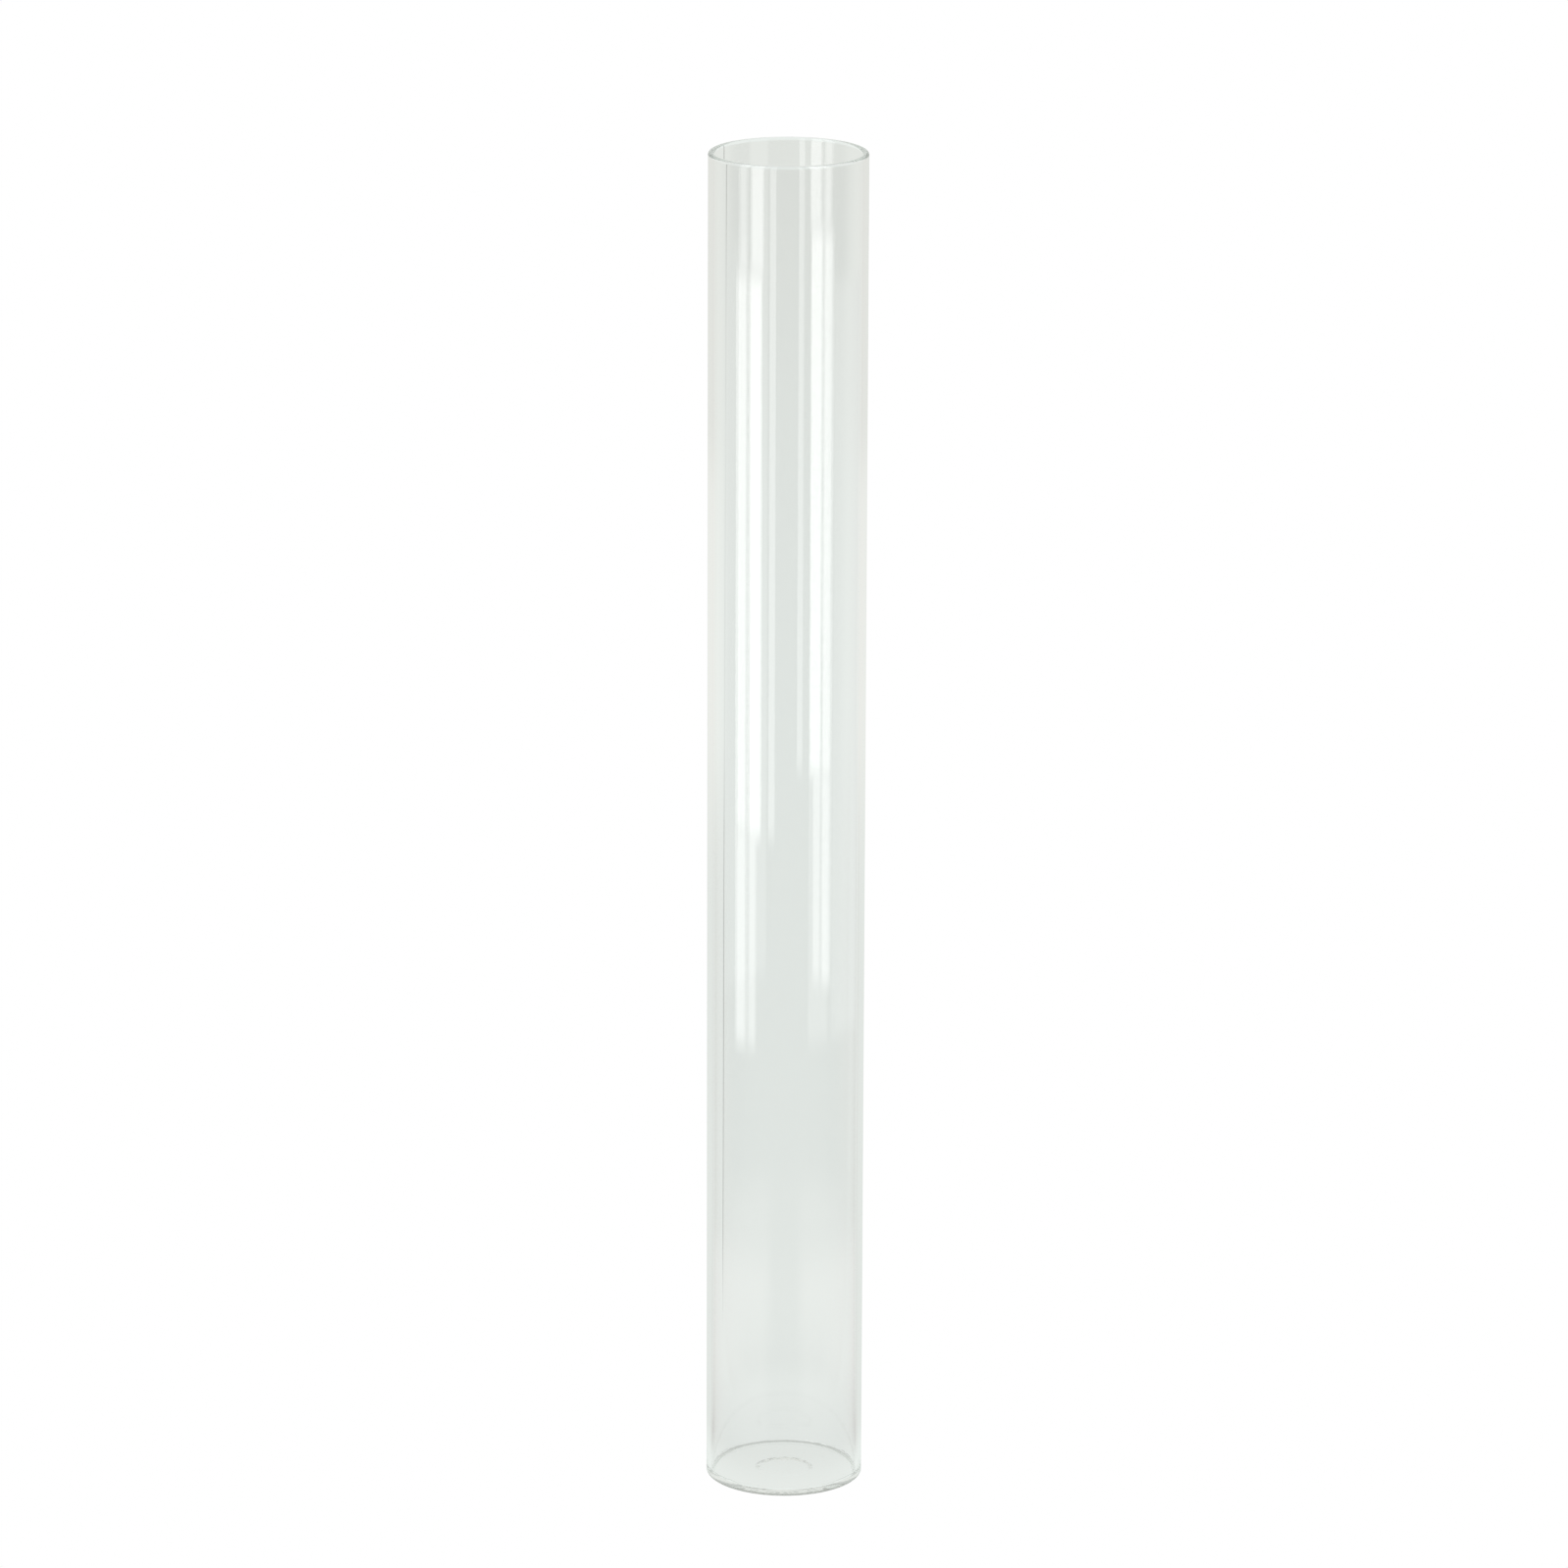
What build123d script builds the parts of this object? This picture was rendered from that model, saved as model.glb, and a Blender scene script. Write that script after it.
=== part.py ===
"""A tall, straight-walled glass cylinder with an open mouth and a flat, closed base.

It is worked from three bodies of glass: a length of drawn tubing, a floor disc seated in a bevel ground
inside its lower end, and the ring of glass that the flame melts into the corner between the two. All
three share the cylinder's own axis, +Z, and the origin is where that axis meets the surface that the
cylinder stands on. Units are millimetres.
"""

import os

from build123d import *

# Driving dimensions
outer_diameter = 75.0
overall_height = 650.0
wall = 3.0
floor_thickness = 2.4
foot_edge_radius = 1.2  # flame-softened outer edge that the cylinder stands inside
bevel_width = 0.9  # how much wider the seat is at the foot than the bore
recess_radius = 13.5  # of the shallow raised middle of the underside
recess_depth = 0.5
recess_slope = 0.9  # width of the slope from the flat foot up to the raised middle
seam_leg = 1.5  # of the melted corner, measured along the floor and up the wall
seam_hollow_radius = 1.8  # of the corner's hollow face, which meets floor and wall at a slight angle

# Worked out from them
outer_radius = outer_diameter / 2
bore_radius = outer_radius - wall
lip_radius = 0.49 * wall  # the fire-polished lip is round almost all the way across the wall
seam_top = floor_thickness + seam_leg
seat_radius_at_foot = bore_radius + bevel_width
seat_radius_at_floor = bore_radius + bevel_width * seam_leg / seam_top

os.makedirs("parts", exist_ok=True)

# Drawn tubing: round lip at the mouth, bevelled seat inside the lower end, softened foot around it
with BuildPart() as wall_tube:
    with BuildSketch(Plane.XZ) as wall_section:
        with BuildLine():
            Polyline(
                (bore_radius, overall_height),
                (bore_radius, seam_top),
                (seat_radius_at_foot, 0),
                (outer_radius, 0),
                (outer_radius, overall_height),
                close=True,
            )
        make_face()
        fillet(wall_section.vertices().group_by(Axis.Y)[-1], lip_radius)
        fillet(wall_section.vertices().group_by(Axis.Y)[0].sort_by(Axis.X)[-1], foot_edge_radius)
    revolve(axis=Axis.Z)
wall_tube.part.label = "wall_tube"
export_step(wall_tube.part, "parts/wall_tube.step")

# Floor disc: bevelled rim, flat above, and below a flat ring with its middle raised a little
with BuildPart() as floor_disc:
    with BuildSketch(Plane.XZ):
        with BuildLine():
            Polyline(
                (0, recess_depth),
                (recess_radius - recess_slope, recess_depth),
                (recess_radius, 0),
                (seat_radius_at_foot, 0),
                (seat_radius_at_floor, floor_thickness),
                (0, floor_thickness),
                close=True,
            )
        make_face()
    revolve(axis=Axis.Z)
floor_disc.part.label = "floor_disc"
export_step(floor_disc.part, "parts/floor_disc.step")

# Melted seam: a hollow-faced ring that fills the corner between the floor and the wall
with BuildPart() as melted_seam:
    with BuildSketch(Plane.XZ):
        with BuildLine():
            hollow_face = RadiusArc(
                (bore_radius - seam_leg, floor_thickness),
                (bore_radius, seam_top),
                -seam_hollow_radius,
            )
            Polyline(hollow_face @ 1, (seat_radius_at_floor, floor_thickness), hollow_face @ 0)
        make_face()
    revolve(axis=Axis.Z)
melted_seam.part.label = "melted_seam"
export_step(melted_seam.part, "parts/melted_seam.step")
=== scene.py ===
"""The looks of a tall clear glass cylinder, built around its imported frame. Lengths are in metres."""
import math

import bmesh
import bpy
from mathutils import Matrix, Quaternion, Vector, noise


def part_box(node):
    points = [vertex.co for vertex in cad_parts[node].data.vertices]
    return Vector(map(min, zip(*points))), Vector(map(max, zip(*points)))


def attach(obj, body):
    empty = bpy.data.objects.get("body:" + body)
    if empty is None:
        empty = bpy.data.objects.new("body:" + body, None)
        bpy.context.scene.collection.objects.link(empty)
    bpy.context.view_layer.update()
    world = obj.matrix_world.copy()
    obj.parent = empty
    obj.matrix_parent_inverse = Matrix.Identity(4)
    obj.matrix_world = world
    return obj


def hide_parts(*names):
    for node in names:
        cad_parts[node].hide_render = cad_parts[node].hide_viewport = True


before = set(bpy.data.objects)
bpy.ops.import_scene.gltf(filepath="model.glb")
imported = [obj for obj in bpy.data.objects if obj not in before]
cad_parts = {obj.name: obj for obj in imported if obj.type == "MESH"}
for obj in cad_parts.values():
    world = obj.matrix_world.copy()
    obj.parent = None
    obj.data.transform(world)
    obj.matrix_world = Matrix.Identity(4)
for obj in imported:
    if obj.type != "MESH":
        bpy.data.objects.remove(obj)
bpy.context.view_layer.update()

MM = 0.001
WHITE = (1, 1, 1, 1)
AROUND = 360  # steps around every turned shape

# The frame's own sizes
tube_low, tube_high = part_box("wall_tube")
disc_low, disc_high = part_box("floor_disc")
seam_low, seam_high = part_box("melted_seam")
OUTER_RADIUS = tube_high.x
SEAT_RADIUS = disc_high.x  # the bevelled seat, at the foot
HEIGHT = tube_high.z
FLOOR_TOP = disc_high.z
SEAM_TOP = seam_high.z
SEAT_SLOPE = (SEAT_RADIUS - seam_high.x) / FLOOR_TOP
BORE_RADIUS = SEAT_RADIUS - SEAT_SLOPE * SEAM_TOP
WALL = OUTER_RADIUS - BORE_RADIUS

# Sizes that the frame's boxes don't show, close to the CAD's own
FOOT_EDGE_RADIUS = 1.2 * MM
LIP_RADIUS = 0.495 * WALL
RECESS_RADIUS = 13.5 * MM
RECESS_SLOPE = 0.9 * MM
RECESS_DEPTH = 0.5 * MM
STEP_MIDDLE = RECESS_RADIUS - RECESS_SLOPE / 2
SEAM_LEG = 1.5 * MM
HOLLOW_RADIUS = 1.8 * MM

JOIN = 0.03 * MM  # what is left between pieces of glass that meet


# ---------------------------------------------------------------- turned glass shapes

def arc(centre_r, centre_z, radius, start_deg, end_deg, steps):
    """Points of an arc in the (radius, height) plane."""
    for step in range(steps + 1):
        angle = math.radians(start_deg + (end_deg - start_deg) * step / steps)
        yield centre_r + radius * math.cos(angle), centre_z + radius * math.sin(angle)


def straight(start, end, steps, edge=0.12 * MM):
    """Points between two corners, with one close to each corner so that shading turns only there."""
    (r0, z0), (r1, z1) = start, end
    share = edge / math.hypot(r1 - r0, z1 - z0)
    stops = [share] + [step / steps for step in range(1, steps)] + [1 - share]
    for t in stops:
        yield r0 + (r1 - r0) * t, z0 + (z1 - z0) * t


def turned(name, outline, shift, joined):
    """A closed solid: the outline, anticlockwise in (radius, height), turned about +Z.

    An outline that starts and ends on the axis closes there in one point each. shift(r, z, angle) gives
    the small unevenness that each point of worked glass has, as an offset in radius and one in height.
    joined(r, z) says where the piece is melted to another, so that nothing is seen between the two.
    """
    mesh = bmesh.new()
    rings = []
    for r, z in outline:
        if r < 0.001 * MM:
            dz = shift(0.0, z, 0.0)[1]
            rings.append([mesh.verts.new((0, 0, z + dz))])
            continue
        ring = []
        for step in range(AROUND):
            angle = 2 * math.pi * step / AROUND
            dr, dz = shift(r, z, angle)
            ring.append(mesh.verts.new(((r + dr) * math.cos(angle), (r + dr) * math.sin(angle), z + dz)))
        rings.append(ring)
    closed = len(rings[0]) > 1
    pairs = list(zip(rings, rings[1:])) + ([(rings[-1], rings[0])] if closed else [])
    for below, above in pairs:
        for step in range(AROUND):
            after = (step + 1) % AROUND
            corners = [
                below[step % len(below)],
                below[after % len(below)],
                above[after % len(above)],
                above[step % len(above)],
            ]
            mesh.faces.new(list(dict.fromkeys(corners)))
    data = bpy.data.meshes.new(name)
    bmesh.ops.recalc_face_normals(mesh, faces=mesh.faces)
    mesh.to_mesh(data)
    mesh.free()
    data.shade_smooth()
    data.set_sharp_from_angle(angle=math.radians(35))
    piece = bpy.data.objects.new(name, data)
    bpy.context.scene.collection.objects.link(piece)
    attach(piece, "root")
    data.materials.append(glass)
    data.materials.append(melted_glass)
    for face in data.polygons:
        spot = face.center
        face.material_index = int(joined(math.hypot(spot.x, spot.y), spot.z))
    return piece


def ripple(angle, z, around, along, seed):
    """Smooth unevenness from -1 to 1 that closes on itself around the cylinder."""
    spot = Vector((around * math.cos(angle), around * math.sin(angle) + seed, z * along))
    return noise.noise(spot) * 1.6


def seat(z):
    """The radius of the bevelled seat at a height."""
    return SEAT_RADIUS - SEAT_SLOPE * z


def drawn_wall(r, z, angle):
    """Drawn tubing is a few hundredths of a millimetre out of round, and the lip melts unevenly."""
    outside = r > BORE_RADIUS + 0.2 * WALL
    draw = 0.018 * MM * ripple(angle, z, 1.6, 5, 3 if outside else 11)
    fine = 0.0020 * MM * ripple(angle, z, 14, 3, 5 if outside else 17)
    lip = max(0.0, 1 - (HEIGHT - z) / (2.5 * MM))
    if z < SEAM_TOP + 0.1 * MM:
        return 0.0, 0.0
    sag = 0.06 * MM * lip * (0.5 + 0.5 * ripple(angle, 0, 2, 1, 7))
    return -abs(draw) if outside else draw + fine, -sag


def make_wall():
    lip_z = HEIGHT - LIP_RADIUS
    foot_r = OUTER_RADIUS - FOOT_EDGE_RADIUS
    outline = [
        (SEAT_RADIUS, 0),
        *arc(foot_r, FOOT_EDGE_RADIUS, FOOT_EDGE_RADIUS, -90, 0, 12),
        *straight((OUTER_RADIUS, FOOT_EDGE_RADIUS), (OUTER_RADIUS, lip_z), 110),
        *arc(OUTER_RADIUS - LIP_RADIUS, lip_z, LIP_RADIUS, 0, 90, 12),
        *arc(BORE_RADIUS + LIP_RADIUS, lip_z, LIP_RADIUS, 90, 180, 12),
        *straight((BORE_RADIUS, lip_z), (BORE_RADIUS, SEAM_TOP), 110),
        (BORE_RADIUS, SEAM_TOP),
        *straight((BORE_RADIUS, SEAM_TOP), (SEAT_RADIUS, 0), 4),
    ]

    def joined(r, z):
        return z < SEAM_TOP and r < seat(z) + JOIN

    piece = turned("glass_wall", outline, drawn_wall, joined)
    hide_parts("wall_tube")
    return piece


def pressed_floor(r, z, angle):
    """The floor's top dips and rises a little; the ring below is broken into short raised lengths."""
    if z > FLOOR_TOP / 2:
        edge = max(0.0, min(1.0, (BORE_RADIUS - SEAM_LEG - r) / (4 * MM)))
        return 0.0, 0.02 * MM * edge * (ripple(angle, 0, r / (9 * MM), 1, 23) - 0.6)
    step = 1 - abs(r - STEP_MIDDLE) / (1.4 * MM)
    if step <= 0:
        return 0.0, 0.0
    uneven = 0.5 + 0.5 * ripple(angle, 0, 3.4, 1, 31)
    return 0.0, -z * 0.9 * min(1.0, 2 * step) * uneven


def make_floor():
    def joined(r, z):
        under_seam = z > FLOOR_TOP - 0.01 * MM and r > seam_edge
        return under_seam or r > seat(z) - 2 * JOIN

    low_rim, high_rim = seat(0) - JOIN, seat(FLOOR_TOP) - JOIN
    top = FLOOR_TOP
    seam_edge = BORE_RADIUS - SEAM_LEG
    outline = [
        (0, RECESS_DEPTH),
        *straight((0, RECESS_DEPTH), (RECESS_RADIUS - RECESS_SLOPE, RECESS_DEPTH), 8),
        *arc(RECESS_RADIUS - RECESS_SLOPE, RECESS_DEPTH - 0.3 * MM, 0.3 * MM, 90, 45, 3),
        *straight((RECESS_RADIUS - 0.5 * MM, 0.22 * MM), (RECESS_RADIUS, 0), 2, 0.05 * MM),
        *straight((RECESS_RADIUS + 0.1 * MM, 0), (low_rim, 0), 10),
        (low_rim, 0),
        *straight((low_rim, 0), (high_rim, top), 3),
        (high_rim, top),
        *straight((high_rim, top), (seam_edge, top), 2),
        (seam_edge, top),
        *straight((seam_edge, top), (0, top), 36),
        (0, top),
    ]
    piece = turned("glass_floor", outline, pressed_floor, joined)
    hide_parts("floor_disc")
    return piece


def melted(r, z, angle):
    """The melted corner swells and thins a little on its way around."""
    free = min(1.0, (z - FLOOR_TOP) / (0.4 * MM)) * min(1.0, (BORE_RADIUS - r) / (0.4 * MM))
    return -0.28 * MM * max(0, free) * ripple(angle, 0, 9, 1, 41), 0.0


def make_seam():
    low = FLOOR_TOP + JOIN
    inner = BORE_RADIUS - SEAM_LEG
    top_r = seat(SEAM_TOP) - JOIN
    chord = Vector((top_r - inner, SEAM_TOP - low))
    middle = Vector((inner, low)) + chord / 2
    across = Vector((-chord.y, chord.x)).normalized()
    centre = middle + across * math.sqrt(HOLLOW_RADIUS**2 - (chord.length / 2) ** 2)
    start = math.degrees(math.atan2(SEAM_TOP - centre.y, top_r - centre.x))
    end = math.degrees(math.atan2(low - centre.y, inner - centre.x))
    outline = [
        *straight((inner, low), (seat(low) - JOIN, low), 4),
        (seat(low) - JOIN, low),
        *straight((seat(low) - JOIN, low), (top_r, SEAM_TOP), 4),
        *arc(centre.x, centre.y, HOLLOW_RADIUS, start, end, 14),
    ]

    def joined(r, z):
        return z < low + 0.01 * MM or r > seat(z) - 2 * JOIN

    piece = turned("glass_seam", outline, melted, joined)
    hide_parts("melted_seam")
    return piece


# ---------------------------------------------------------------- shader sums

def mixed(tree, factor, first, second):
    """A colour between two others, each a socket or a plain colour."""
    mix = tree.nodes.new("ShaderNodeMix")
    mix.data_type = "RGBA"
    colours = [socket for socket in mix.inputs if socket.type == "RGBA"]
    for socket, colour in zip(colours, (first, second)):
        if isinstance(colour, tuple):
            socket.default_value = colour
        else:
            tree.links.new(colour, socket)
    tree.links.new(factor, mix.inputs[0])
    return next(socket for socket in mix.outputs if socket.type == "RGBA")


def worked(tree, operation, *terms):
    """The result of a sum on sockets and plain numbers."""
    node = tree.nodes.new("ShaderNodeMath")
    node.operation = operation
    for socket, term in zip(node.inputs, terms):
        if isinstance(term, (int, float)):
            socket.default_value = term
        else:
            tree.links.new(term, socket)
    return node.outputs[0]


def product(tree, first, *others):
    """All the given sockets and plain numbers, multiplied together."""
    for other in others:
        first = worked(tree, "MULTIPLY", first, other)
    return first


def eased(tree, value, start, end):
    """0 at start, 1 at end, and a soft passage between."""
    node = tree.nodes.new("ShaderNodeMapRange")
    node.interpolation_type = "SMOOTHSTEP"
    low, high, flip = (start, end, False) if start < end else (end, start, True)
    node.inputs["From Min"].default_value = low
    node.inputs["From Max"].default_value = high
    node.inputs["To Min"].default_value = float(flip)
    node.inputs["To Max"].default_value = float(not flip)
    tree.links.new(value, node.inputs["Value"])
    return node.outputs["Result"]


def parts_of(tree, vector):
    """The X, Y and Z of a vector socket."""
    axes = tree.nodes.new("ShaderNodeSeparateXYZ")
    tree.links.new(vector, axes.inputs[0])
    return axes.outputs


# ---------------------------------------------------------------- glass

CLEAR_INDEX = 1.473
DEPTH_COLOUR, DEPTH_DENSITY = (0.55, 0.66, 0.60, 1), 0.08
DRAW_LINES = 900  # how many of the tube's fine lines there are to a metre
LINE_DEPTH = 0.0012 * MM
DULLEST = 0.03  # roughness where the polish is poorest
LINE_TURN = math.radians(61.6)  # where the line starts at the foot, from the back round to the left
LINE_TWIST = math.radians(-4.0) / 0.65
LINE_GREY = (0.32, 0.32, 0.32, 1)
# Painted shade: the grey that darkens the foot's lowest edge, where the foot looks dark.
FOOT_PAINTED_SHADE = (0.50, 0.50, 0.49, 1)
# Painted shade: near-black dashes on the far half of the floor's step ring.
RING_PAINTED_SHADE = (0.05, 0.05, 0.05, 1)


def new_glass(name, index):
    """A glass with nothing on its surface but the bend and the shine that its index gives."""
    material = bpy.data.materials.new(name)
    material.use_nodes = True
    shader = material.node_tree.nodes["Principled BSDF"]
    shader.inputs["Base Color"].default_value = (1, 1, 1, 1)
    shader.inputs["Roughness"].default_value = 0.0
    shader.inputs["IOR"].default_value = index
    shader.inputs["Transmission Weight"].default_value = 1.0
    depth = material.node_tree.nodes.new("ShaderNodeVolumeAbsorption")
    depth.inputs["Color"].default_value = DEPTH_COLOUR
    depth.inputs["Density"].default_value = DEPTH_DENSITY
    material.node_tree.links.new(
        depth.outputs["Volume"], material.node_tree.nodes["Material Output"].inputs["Volume"]
    )
    return material


def drawn_lines(material):
    """The fine lines that drawing leaves along a tube, and a surface that is not quite evenly polished."""
    tree = material.node_tree
    place = tree.nodes.new("ShaderNodeTexCoord")
    stretch = tree.nodes.new("ShaderNodeMapping")
    stretch.inputs["Scale"].default_value = (1, 1, 0.012)
    lines = tree.nodes.new("ShaderNodeTexNoise")
    lines.inputs["Scale"].default_value = DRAW_LINES
    lines.inputs["Detail"].default_value = 2
    bump = tree.nodes.new("ShaderNodeBump")
    bump.inputs["Strength"].default_value = 1.0
    bump.inputs["Distance"].default_value = LINE_DEPTH
    tree.links.new(place.outputs["Object"], stretch.inputs["Vector"])
    tree.links.new(stretch.outputs["Vector"], lines.inputs["Vector"])
    tree.links.new(lines.outputs["Fac"], bump.inputs["Height"])
    tree.links.new(bump.outputs["Normal"], tree.nodes["Principled BSDF"].inputs["Normal"])
    cloudy = tree.nodes.new("ShaderNodeTexNoise")
    cloudy.inputs["Scale"].default_value = 40
    polish = tree.nodes.new("ShaderNodeMapRange")
    polish.inputs["From Min"].default_value = 0.35
    polish.inputs["From Max"].default_value = 0.75
    polish.inputs["To Max"].default_value = DULLEST
    tree.links.new(place.outputs["Object"], cloudy.inputs["Vector"])
    tree.links.new(cloudy.outputs["Fac"], polish.inputs["Value"])
    tree.links.new(polish.outputs["Result"], tree.nodes["Principled BSDF"].inputs["Roughness"])


def line_mark(tree, turn, z, radius):
    """A fine line all along the wall's outside: clearer low down and at the mouth, broken in places."""
    centre = worked(tree, "MULTIPLY_ADD", z, LINE_TWIST, LINE_TURN)
    aside = worked(tree, "ABSOLUTE", worked(tree, "SUBTRACT", turn, centre))
    broken = tree.nodes.new("ShaderNodeTexNoise")
    broken.noise_dimensions = "1D"
    broken.inputs["Scale"].default_value = 7
    tree.links.new(z, broken.inputs["W"])
    clearer = worked(tree, "MAXIMUM", eased(tree, z, 0.40, 0.30), eased(tree, z, 0.52, 0.64))
    return product(
        tree,
        eased(tree, aside, 0.018, 0.005),
        eased(tree, broken.outputs["Fac"], 0.2, 0.5),
        worked(tree, "MAXIMUM", clearer, 0.25),
        eased(tree, z, 0.06, 0.12),
        eased(tree, radius, OUTER_RADIUS - 0.6 * MM, OUTER_RADIUS - 0.4 * MM),
    )


def painted_ring_shade(tree, place, y, z, radius):
    """Painted shade in dashes on the far half of the step under the floor, where the step looks dark."""
    aside = worked(tree, "ABSOLUTE", worked(tree, "SUBTRACT", radius, STEP_MIDDLE))
    dashes = tree.nodes.new("ShaderNodeTexNoise")
    dashes.inputs["Scale"].default_value = 230
    tree.links.new(place, dashes.inputs["Vector"])
    return product(
        tree,
        eased(tree, aside, 1.5 * MM, 0.5 * MM),
        eased(tree, y, -6 * MM, 10 * MM),
        eased(tree, dashes.outputs["Fac"], 0.43, 0.54),
        eased(tree, z, 1.1 * MM, 0.9 * MM),
    )


def line_and_painted_shade(material):
    """A grey line along the tube, and painted shade: a grey band round the foot's edge and dark dashes on
    the far half of the floor's ring.
    """
    tree = material.node_tree
    place = tree.nodes.new("ShaderNodeTexCoord").outputs["Object"]
    x, y, z = parts_of(tree, place)
    squares = [worked(tree, "MULTIPLY", axis, axis) for axis in (x, y)]
    radius = worked(tree, "SQRT", worked(tree, "ADD", *squares))
    turn = worked(tree, "ARCTAN2", worked(tree, "MULTIPLY", x, -1), y)
    line = line_mark(tree, turn, z, radius)
    # Painted shade: a grey band round the foot's lowest edge.
    painted_foot_shade = product(
        tree,
        eased(tree, radius, OUTER_RADIUS - 1.6 * MM, OUTER_RADIUS - 1.3 * MM),
        eased(tree, z, 1.9 * MM, 1.2 * MM),
    )
    # Painted shade in dashes on the far half of the floor's ring.
    ring = painted_ring_shade(tree, place, y, z, radius)
    colour = mixed(tree, line, WHITE, LINE_GREY)
    colour = mixed(tree, painted_foot_shade, colour, FOOT_PAINTED_SHADE)
    colour = mixed(tree, ring, colour, RING_PAINTED_SHADE)
    tree.links.new(colour, tree.nodes["Principled BSDF"].inputs["Base Color"])


# ---------------------------------------------------------------- studio

BACKDROP_NEAR = (0.835, 0.880, 0.848, 1)  # seen through the glass, at the cylinder's foot
BACKDROP_FAR = (0.775, 0.800, 0.762, 1)  # the same, far behind it
TABLE_MIRRORED = (0.68, 0.63, 0.62, 1)  # the lit table beside the cylinder
ROOM_MIRRORED = (0.12, 0.12, 0.12, 1)  # the dark room, on the camera's side
SIDE_MIRRORED = (0.48, 0.46, 0.44, 1)  # the floor to the sides, as far as a metre away
BEHIND_MIRRORED = (0.74, 0.77, 0.74, 1)  # the same, behind the cylinder
FAR_MIRRORED = (0.83, 0.835, 0.80, 1)  # the floor farther off, to the sides and behind
BEYOND_MIRRORED = (0.75, 0.755, 0.72, 1)  # the same, past two metres
SHADE_GREY = (0.5, 0.5, 0.5, 1)
FOOT_SHADE = 0.12
FLOOR_REACH = 30  # each way from the cylinder
FLOOR_Z = -0.2 * MM
FRONT_SHIFT = 0.03  # the floor's zones spread from a point this far in front of the axis


def ways_of_seeing(tree):
    """Factors for what the camera sees with nothing between, and for what it sees mirrored once in glass."""
    path = tree.nodes.new("ShaderNodeLightPath")
    once = worked(tree, "COMPARE", path.outputs["Glossy Depth"], 1, 0.5)
    return path.outputs["Is Camera Ray"], once


def through_floor(tree, distance):
    """The floor's colour through the glass: paler far behind, and a little shaded round the foot."""
    colour = mixed(tree, eased(tree, distance, 1.2, 3.9), BACKDROP_NEAR, BACKDROP_FAR)
    shade = worked(tree, "MULTIPLY", eased(tree, distance, 0.20, 0.07), FOOT_SHADE)
    return mixed(tree, shade, colour, SHADE_GREY)


def mirrored_floor(tree, distance, front):
    """The floor's colour as the glass mirrors it. front is 1 toward the camera and -1 behind."""
    colour = mixed(tree, eased(tree, front, -0.65, -0.72), SIDE_MIRRORED, BEHIND_MIRRORED)
    colour = mixed(tree, eased(tree, distance, 0.95, 1.5), colour, FAR_MIRRORED)
    colour = mixed(tree, eased(tree, distance, 2.0, 2.35), colour, BEYOND_MIRRORED)
    colour = mixed(tree, eased(tree, front, 0.1, -0.5), ROOM_MIRRORED, colour)
    table = product(
        tree,
        eased(tree, distance, 0.44, 0.33),
        eased(tree, distance, 0.06, 0.22),
        eased(tree, front, -0.72, -0.62),
        worked(tree, "MULTIPLY_ADD", eased(tree, front, 0.97, 0.80), 0.65, 0.35),
    )
    colour = mixed(tree, table, colour, TABLE_MIRRORED)
    return mixed(tree, eased(tree, distance, 0.10, 0.045), colour, BACKDROP_NEAR)


def make_floor_plane():
    """The pale floor: white itself, pale grey through the glass, and mirrored in it as a lit table."""
    data = bpy.data.meshes.new("floor")
    corners = [(-1, -1), (1, -1), (1, 1), (-1, 1)]
    data.from_pydata([(x * FLOOR_REACH, y * FLOOR_REACH, FLOOR_Z) for x, y in corners], [], [(0, 1, 2, 3)])
    floor = bpy.data.objects.new("floor", data)
    bpy.context.scene.collection.objects.link(floor)
    material = bpy.data.materials.new("floor")
    material.use_nodes = True
    tree = material.node_tree
    tree.nodes.remove(tree.nodes["Principled BSDF"])
    place = tree.nodes.new("ShaderNodeNewGeometry").outputs["Position"]
    reach = tree.nodes.new("ShaderNodeVectorMath")
    reach.operation = "LENGTH"
    tree.links.new(place, reach.inputs[0])
    around = tree.nodes.new("ShaderNodeVectorMath")
    around.inputs[1].default_value = (0, FRONT_SHIFT, 0)
    tree.links.new(place, around.inputs[0])
    way = tree.nodes.new("ShaderNodeVectorMath")
    way.operation = "NORMALIZE"
    tree.links.new(around.outputs["Vector"], way.inputs[0])
    distance = reach.outputs["Value"]
    front = worked(tree, "MULTIPLY", parts_of(tree, way.outputs["Vector"])[1], -1)
    through, mirror = through_floor(tree, distance), mirrored_floor(tree, distance, front)
    direct, mirrored = ways_of_seeing(tree)
    seen = mixed(tree, direct, mixed(tree, mirrored, through, mirror), WHITE)
    glow = tree.nodes.new("ShaderNodeEmission")
    tree.links.new(seen, glow.inputs["Color"])
    tree.links.new(glow.outputs["Emission"], tree.nodes["Material Output"].inputs["Surface"])
    data.materials.append(material)


def make_world():
    """White itself, and pale grey through the glass or mirrored in it."""
    world = bpy.data.worlds.new("studio")
    world.use_nodes = True
    tree = world.node_tree
    seen = mixed(tree, ways_of_seeing(tree)[0], BACKDROP_FAR, WHITE)
    tree.links.new(seen, tree.nodes["Background"].inputs["Color"])
    bpy.context.scene.world = world


PANEL_STEPS = 24
SOFT_END = 0.02
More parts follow.
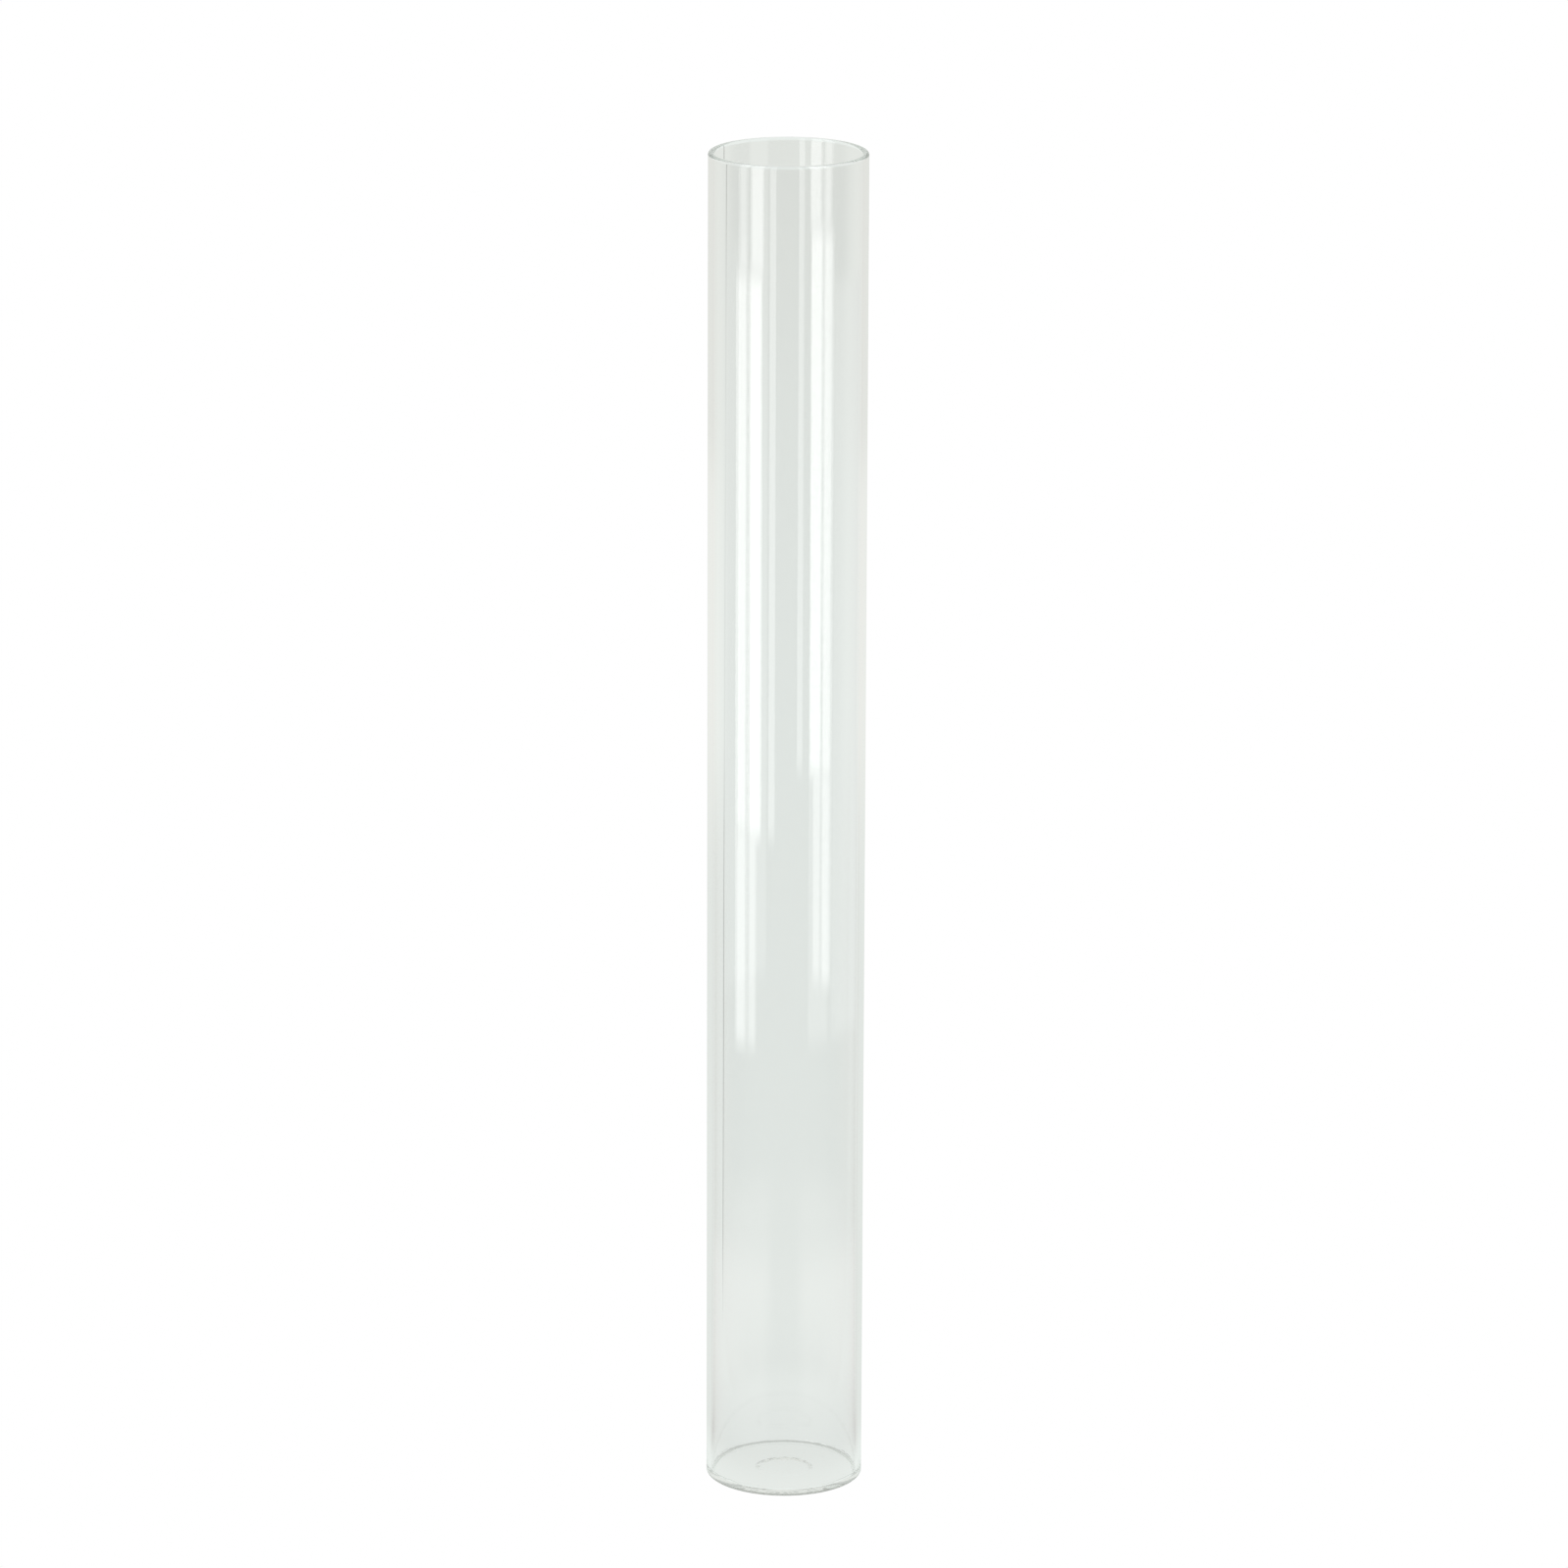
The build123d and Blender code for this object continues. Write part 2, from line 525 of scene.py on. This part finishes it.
# Name, distance, turn from and to, bottom, top, strength. Turns are in degrees from the direction of the
# camera, clockwise seen from above.
PANELS = [
    ("light_a", 0.670, 61, 78, 0.140, 0.475, 2.9),
    ("light_b", 0.670, 38, 57, 0.140, 0.475, 3.6),
    ("light_c", 0.670, 17, 26, 0.140, 0.570, 1.7),
    ("light_a_top", 0.675, 61, 74, 0.455, 0.575, 1.8),
    ("light_b_top", 0.675, 36, 54, 0.455, 0.575, 2.6),
    ("light_a_low", 0.675, 61, 78, 0.016, 0.160, 2.3),
    ("light_b_low", 0.675, 45, 57, 0.016, 0.160, 1.9),
    ("window_near", 0.670, -64, -33, 0.020, 0.610, 0.8),
    ("window_side", 0.670, -128, -70, 0.020, 0.470, 0.65),
]


def make_panel(name, distance, turn_from, turn_to, low, high, strength):
    """A curved light panel, soft at its ends, that shows in the glass's mirror image and nowhere else."""
    points, faces = [], []
    for step in range(PANEL_STEPS + 1):
        turn = math.radians(turn_from + (turn_to - turn_from) * step / PANEL_STEPS)
        x, y = -distance * math.sin(turn), -distance * math.cos(turn)
        points += [(x, y, low), (x, y, high)]
        if step:
            faces.append((2 * step - 2, 2 * step, 2 * step + 1, 2 * step - 1))
    data = bpy.data.meshes.new(name)
    data.from_pydata(points, [], faces)
    panel = bpy.data.objects.new(name, data)
    bpy.context.scene.collection.objects.link(panel)
    material = bpy.data.materials.new(name)
    material.use_nodes = True
    tree = material.node_tree
    tree.nodes.remove(tree.nodes["Principled BSDF"])
    glow = tree.nodes.new("ShaderNodeEmission")
    glow.inputs["Strength"].default_value = strength
    clear = tree.nodes.new("ShaderNodeBsdfTransparent")
    choice = tree.nodes.new("ShaderNodeMixShader")
    height = parts_of(tree, tree.nodes.new("ShaderNodeNewGeometry").outputs["Position"])[2]
    shows = product(
        tree,
        eased(tree, height, low, low + SOFT_END),
        eased(tree, height, high, high - SOFT_END),
        ways_of_seeing(tree)[1],
    )
    tree.links.new(shows, choice.inputs["Fac"])
    tree.links.new(clear.outputs["BSDF"], choice.inputs[1])
    tree.links.new(glow.outputs["Emission"], choice.inputs[2])
    tree.links.new(choice.outputs["Shader"], tree.nodes["Material Output"].inputs["Surface"])
    data.materials.append(material)


CAMERA_PLACE = Vector((0, -3.70, 1.364))
CAMERA_AIM = Vector((-0.0011, 0, 0.3453))
CAMERA_ROLL = math.radians(0.21)
SENSOR_WIDTH = 36
FOCAL_LENGTH = 185.75
ENOUGH_BOUNCES = 1000


def make_camera():
    """Tilted down from above the mouth, on a long lens, with the small roll the photograph has."""
    lens = bpy.data.cameras.new("camera")
    lens.sensor_width = SENSOR_WIDTH
    lens.lens = FOCAL_LENGTH
    camera = bpy.data.objects.new("camera", lens)
    bpy.context.scene.collection.objects.link(camera)
    camera.location = CAMERA_PLACE
    camera.rotation_mode = "QUATERNION"
    roll = Quaternion((0, 0, 1), CAMERA_ROLL)
    camera.rotation_quaternion = (CAMERA_AIM - CAMERA_PLACE).to_track_quat("-Z", "Y") @ roll
    bpy.context.scene.camera = camera


glass = new_glass("clear_glass", CLEAR_INDEX)
drawn_lines(glass)
line_and_painted_shade(glass)
melted_glass = new_glass("melted_glass", 1.0)
make_wall()
make_floor()
make_seam()

make_world()
make_floor_plane()
for panel in PANELS:
    make_panel(*panel)
make_camera()
bpy.context.scene.view_settings.view_transform = "Standard"
# Light runs a long way inside a rim of glass, and ending it early would paint the rim black.
light_paths = bpy.context.scene.cycles
light_paths.max_bounces = light_paths.glossy_bounces = light_paths.transmission_bounces = ENOUGH_BOUNCES
